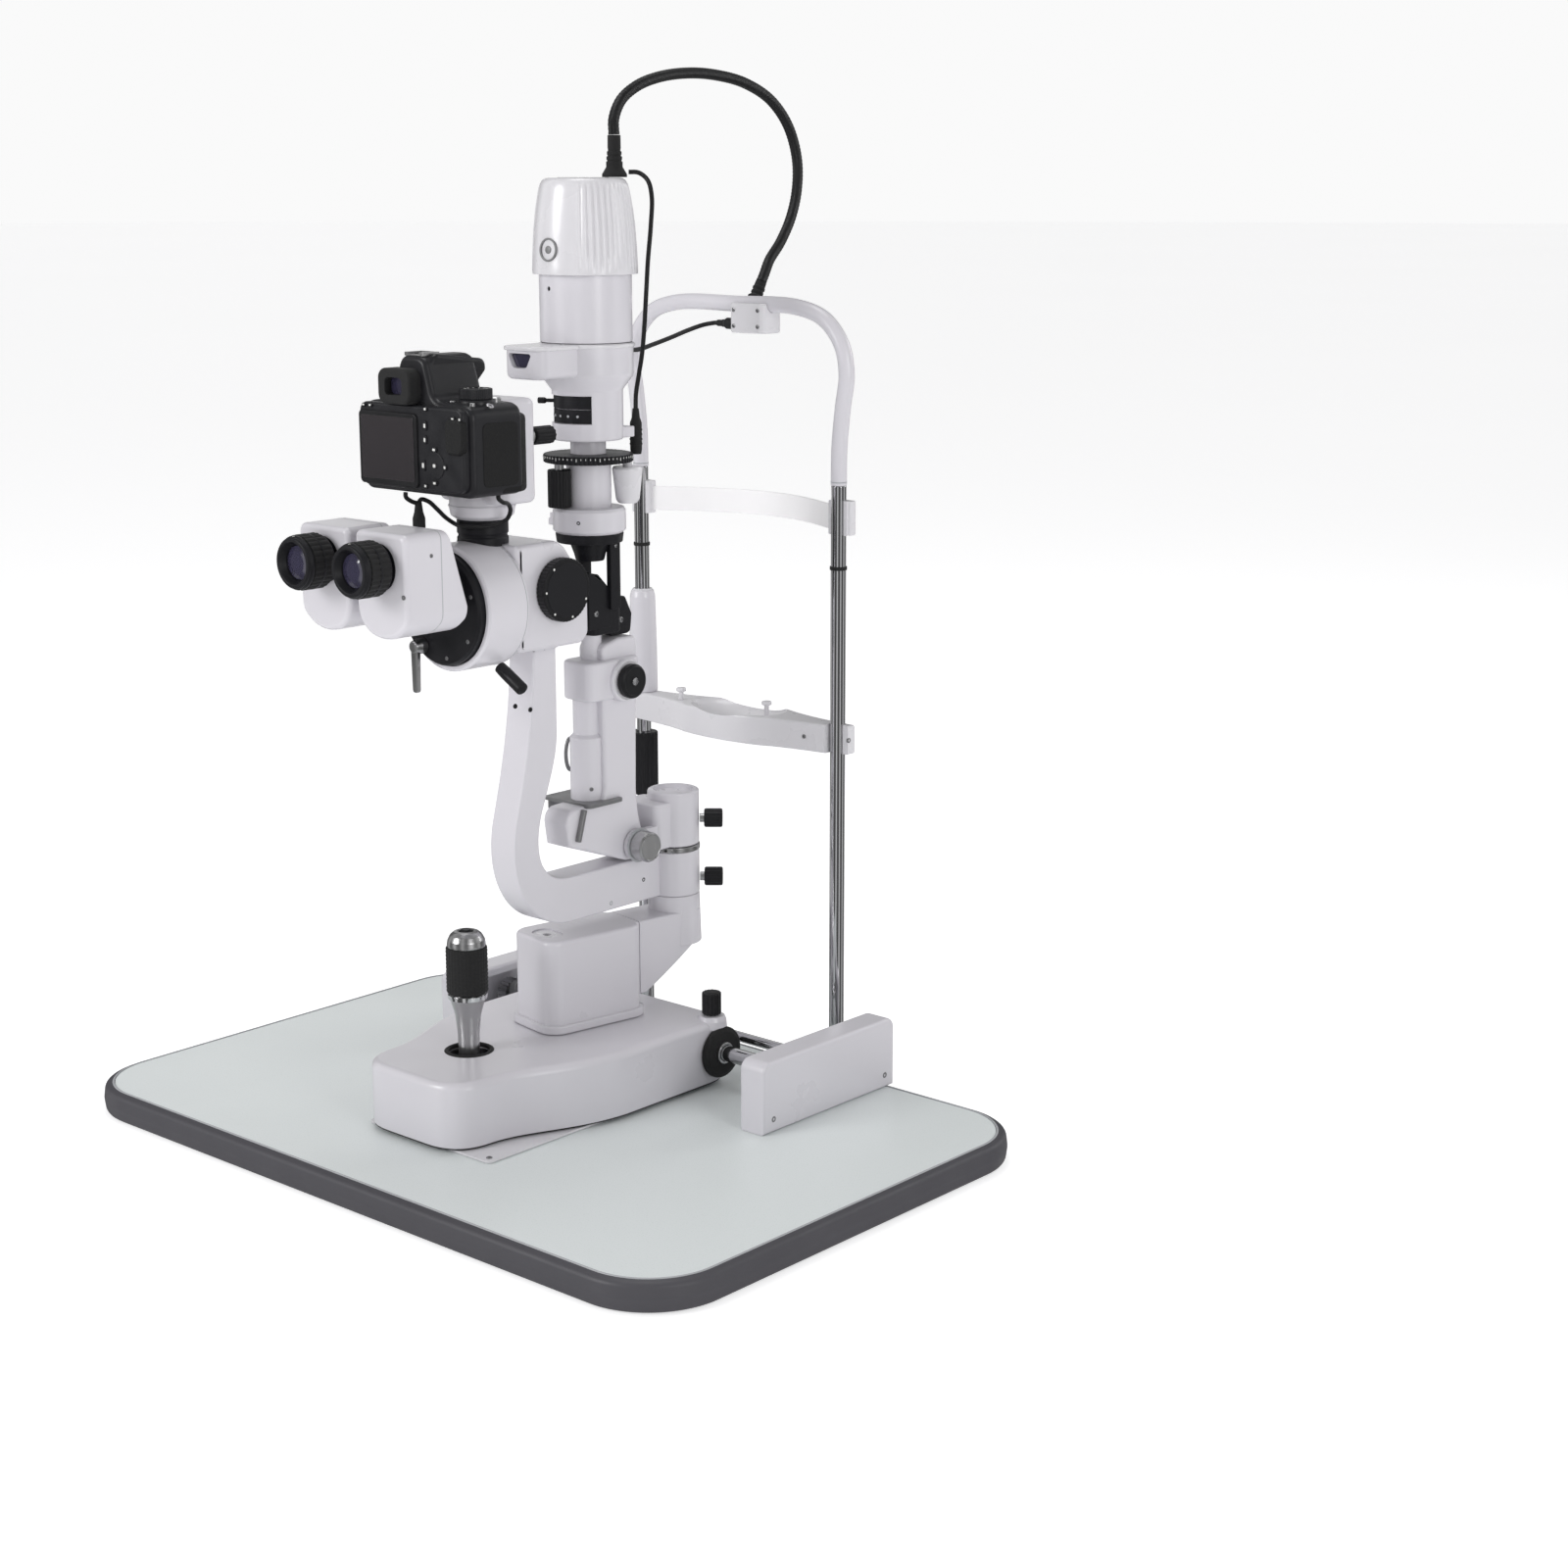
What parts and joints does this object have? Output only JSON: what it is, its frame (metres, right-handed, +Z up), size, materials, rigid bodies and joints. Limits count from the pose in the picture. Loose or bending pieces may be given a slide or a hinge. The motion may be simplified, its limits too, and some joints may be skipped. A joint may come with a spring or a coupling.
{
  "type": "slit lamp",
  "caption": "Slit lamp biomicroscope on a table top, with joystick cross-slide base, swinging microscope and lamp tower, attached camera, chinrest and forehead band.",
  "frame": {"origin": "centre of the table top's flat underside", "axes": "+Z up; -Y towards the examiner, +Y towards the patient; +X to the examiner's right"},
  "size_m": [0.72, 0.5624, 0.8999],
  "materials": {
    "table_laminate": "pale grey-green satin laminate",
    "edge_band_grey": "matte dark grey",
    "white_enamel": "off-white satin enamel",
    "white_plastic": "off-white moulded",
    "black_anodised": "black anodised",
    "black_plastic": "black moulded",
    "black_rubber": "black matte",
    "chrome_steel": "polished",
    "satin_aluminium": "satin",
    "cord_sheath": "black sleeve",
    "lens_glass": "coated"
  },
  "bodies": {
    "table": {"tabletop": "table_laminate", "table_edge_band": "edge_band_grey", "glide_plate": "white_plastic", "rail_cover_right": "white_enamel", "rail_cover_left": "white_enamel", "toothed_rack_right": "satin_aluminium", "toothed_rack_left": "satin_aluminium", "headrest_post_right": "chrome_steel", "headrest_post_left": "chrome_steel", "headrest_arch": "white_enamel", "forehead_band": "white_plastic", "cable_block": "white_plastic"},
    "chinrest": {"chinrest": "white_plastic"},
    "chin_knob": {"chin_height_knob": "black_plastic"},
    "carriage": {"carriage_axle": "chrome_steel"},
    "rail_wheels": {"rail_wheel_right": "satin_aluminium", "rail_wheel_left": "satin_aluminium"},
    "base": {"base_housing": "white_enamel"},
    "axle_lock": {"axle_lock_knob": "black_plastic"},
    "gimbal": {"joystick_gimbal": "satin_aluminium"},
    "joystick": {"joystick_stem": "satin_aluminium"},
    "grip": {"joystick_grip": "black_rubber"},
    "release_button": {"joystick_button": "black_plastic"},
    "elevator": {"elevator_carrier": "white_enamel", "lift_column": "chrome_steel", "swivel_shaft": "chrome_steel"},
    "microscope": {"scope_arm": "white_enamel", "scope_body": "white_enamel", "objective_hood": "black_anodised", "scope_drum": "white_enamel", "drum_plate": "black_anodised", "camera_adapter": "white_enamel", "camera_body": "black_plastic", "camera_lead": "cord_sheath"},
    "scope_lock": {"scope_lock_knob": "black_plastic"},
    "magnification": {"magnification_knob": "black_plastic"},
    "splitter": {"splitter_lever": "satin_aluminium"},
    "prism_right": {"prism_box_right": "white_enamel"},
    "prism_left": {"prism_box_left": "white_enamel"},
    "ocular_right": {"eyepiece_right": "black_anodised"},
    "ocular_left": {"eyepiece_left": "black_anodised"},
    "mode_dial": {"camera_mode_dial": "black_plastic"},
    "shutter": {"camera_shutter_button": "satin_aluminium"},
    "lamp_arm": {"lamp_arm": "white_enamel"},
    "lamp_lock": {"lamp_lock_knob": "black_plastic"},
    "lamp_tower": {"tower_casting": "white_enamel", "mirror_head": "black_anodised", "slit_unit": "white_enamel", "lamp_housing": "white_enamel", "lamp_cap": "white_plastic", "cap_boot": "black_rubber", "lamp_cable": "cord_sheath", "block_lead": "cord_sheath", "lamp_lead": "cord_sheath"},
    "tilt_screw": {"tilt_knob": "satin_aluminium"},
    "tower_lock": {"tower_lock_knob": "black_plastic"},
    "slit_plate": {"slit_scale_plate": "black_anodised"},
    "slit_width": {"slit_width_knob": "black_plastic"},
    "slit_height": {"slit_height_knob": "white_plastic"},
    "filter_ring": {"filter_lever": "black_anodised"}
  },
  "joints": [
    {"name": "chinrest_height", "type": "slide", "parent": "table", "child": "chinrest", "axis": [0, 0, 1], "range_m": [-0.01, 0.055]},
    {"name": "chin_knob_turn", "type": "hinge", "parent": "table", "child": "chin_knob", "pos_m": [-0.1193, 0.2527, 0.269], "axis": [0, 0, 1], "range_deg": [-245, 1325]},
    {"name": "carriage_slide", "type": "slide", "parent": "table", "child": "carriage", "axis": [0, 1, 0], "range_m": [-0.045, 0.045]},
    {"name": "wheels_roll", "type": "hinge", "parent": "carriage", "child": "rail_wheels", "pos_m": [0, 0.133, 0.057], "axis": [1, 0, 0], "range_deg": [-200, 200]},
    {"name": "base_slide", "type": "slide", "parent": "carriage", "child": "base", "axis": [1, 0, 0], "range_m": [-0.035, 0.055]},
    {"name": "axle_lock_turn", "type": "hinge", "parent": "base", "child": "axle_lock", "pos_m": [0.076, 0.133, 0.096], "axis": [0, 0, 1], "range_deg": [0, 180]},
    {"name": "joystick_tilt_side", "type": "hinge", "parent": "base", "child": "gimbal", "pos_m": [-0.02, -0.067, 0.048], "axis": [0, 1, 0], "range_deg": [-8, 8]},
    {"name": "joystick_tilt_fore", "type": "hinge", "parent": "gimbal", "child": "joystick", "pos_m": [-0.02, -0.067, 0.048], "axis": [1, 0, 0], "range_deg": [-8, 8]},
    {"name": "joystick_turn", "type": "hinge", "parent": "joystick", "child": "grip", "pos_m": [-0.02, -0.067, 0.156], "axis": [0, 0, 1], "range_deg": [-5, 725]},
    {"name": "release_button_press", "type": "slide", "parent": "grip", "child": "release_button", "axis": [0, 0, -1], "range_m": [0, 0.003], "stiffness_N_per_m": 300, "springref_m": -0.002},
    {"name": "elevator_lift", "type": "slide", "parent": "base", "child": "elevator", "axis": [0, 0, 1], "range_m": [0, 0.03]},
    {"name": "scope_swing", "type": "hinge", "parent": "elevator", "child": "microscope", "pos_m": [0.004, 0.162, 0.203], "axis": [0, 0, 1], "range_deg": [-30, 30]},
    {"name": "scope_lock_turn", "type": "hinge", "parent": "microscope", "child": "scope_lock", "pos_m": [0.004, 0.162, 0.197], "axis": [0.7547, 0.6561, 0], "range_deg": [0, 180]},
    {"name": "magnification_turn", "type": "hinge", "parent": "microscope", "child": "magnification", "pos_m": [0, 0, 0.479], "axis": [1, 0, 0], "continuous": true},
    {"name": "splitter_turn", "type": "hinge", "parent": "microscope", "child": "splitter", "pos_m": [-0.028, -0.097, 0.438], "axis": [0, 1, 0], "range_deg": [-35, 35]},
    {"name": "pd_right", "type": "hinge", "parent": "microscope", "child": "prism_right", "pos_m": [0.009, -0.122, 0.488], "axis": [0, 1, 0], "range_deg": [-4, 8]},
    {"name": "pd_left", "type": "hinge", "parent": "microscope", "child": "prism_left", "pos_m": [-0.023, -0.122, 0.488], "axis": [0, 1, 0], "range_deg": [-8, 4]},
    {"name": "dioptre_right", "type": "hinge", "parent": "prism_right", "child": "ocular_right", "pos_m": [0.0265, -0.19, 0.517], "axis": [0, 1, 0], "range_deg": [-90, 90]},
    {"name": "dioptre_left", "type": "hinge", "parent": "prism_left", "child": "ocular_left", "pos_m": [-0.0405, -0.19, 0.517], "axis": [0, 1, 0], "range_deg": [-90, 90]},
    {"name": "mode_dial_turn", "type": "hinge", "parent": "microscope", "child": "mode_dial", "pos_m": [0.043, -0.097, 0.644], "axis": [0, 0, 1], "continuous": true},
    {"name": "shutter_press", "type": "slide", "parent": "microscope", "child": "shutter", "axis": [0, 0, -1], "range_m": [0, 0.0015], "stiffness_N_per_m": 400, "springref_m": -0.001},
    {"name": "lamp_swing", "type": "hinge", "parent": "elevator", "child": "lamp_arm", "pos_m": [0.004, 0.162, 0.253], "axis": [0, 0, 1], "range_deg": [-45, 45], "deforming": ["lamp_cable", "block_lead"]},
    {"name": "lamp_lock_turn", "type": "hinge", "parent": "lamp_arm", "child": "lamp_lock", "pos_m": [0.004, 0.162, 0.251], "axis": [0.7547, 0.6561, 0], "range_deg": [0, 180]},
    {"name": "lamp_tilt", "type": "hinge", "parent": "lamp_arm", "child": "lamp_tower", "pos_m": [0, 0.105, 0.239], "axis": [1, 0, 0], "range_deg": [0, 2]},
    {"name": "tilt_screw_turn", "type": "hinge", "parent": "lamp_arm", "child": "tilt_screw", "pos_m": [0, 0.105, 0.239], "axis": [1, 0, 0], "range_deg": [0, 180]},
    {"name": "tower_lock_turn", "type": "hinge", "parent": "lamp_tower", "child": "tower_lock", "pos_m": [0.02, 0.091, 0.388], "axis": [1, 0, 0], "range_deg": [0, 180]},
    {"name": "slit_rotation", "type": "hinge", "parent": "lamp_tower", "child": "slit_plate", "pos_m": [-0.005, 0.072, 0.587], "axis": [0, 0, 1], "range_deg": [-90, 90]},
    {"name": "slit_width_turn", "type": "hinge", "parent": "slit_plate", "child": "slit_width", "pos_m": [-0.01063, 0.04304, 0.556], "axis": [0, 0, 1], "range_deg": [-135, 135]},
    {"name": "slit_height_turn", "type": "hinge", "parent": "slit_plate", "child": "slit_height", "pos_m": [0.01532, 0.098, 0.556], "axis": [0, 0, 1], "range_deg": [-135, 135]},
    {"name": "filter_turn", "type": "hinge", "parent": "lamp_tower", "child": "filter_ring", "pos_m": [-0.005, 0.072, 0.624], "axis": [0, 0, 1], "range_deg": [-30, 30]}
  ],
  "couplings": [
    {"joint": "chin_knob_turn", "follows": "chinrest_height", "rad_per_m": 418.88},
    {"joint": "wheels_roll", "follows": "carriage_slide", "rad_per_m": -76.923},
    {"joint": "joystick_turn", "follows": "elevator_lift", "rad_per_m": 418.88},
    {"joint": "pd_left", "follows": "pd_right", "ratio": -1}
  ]
}
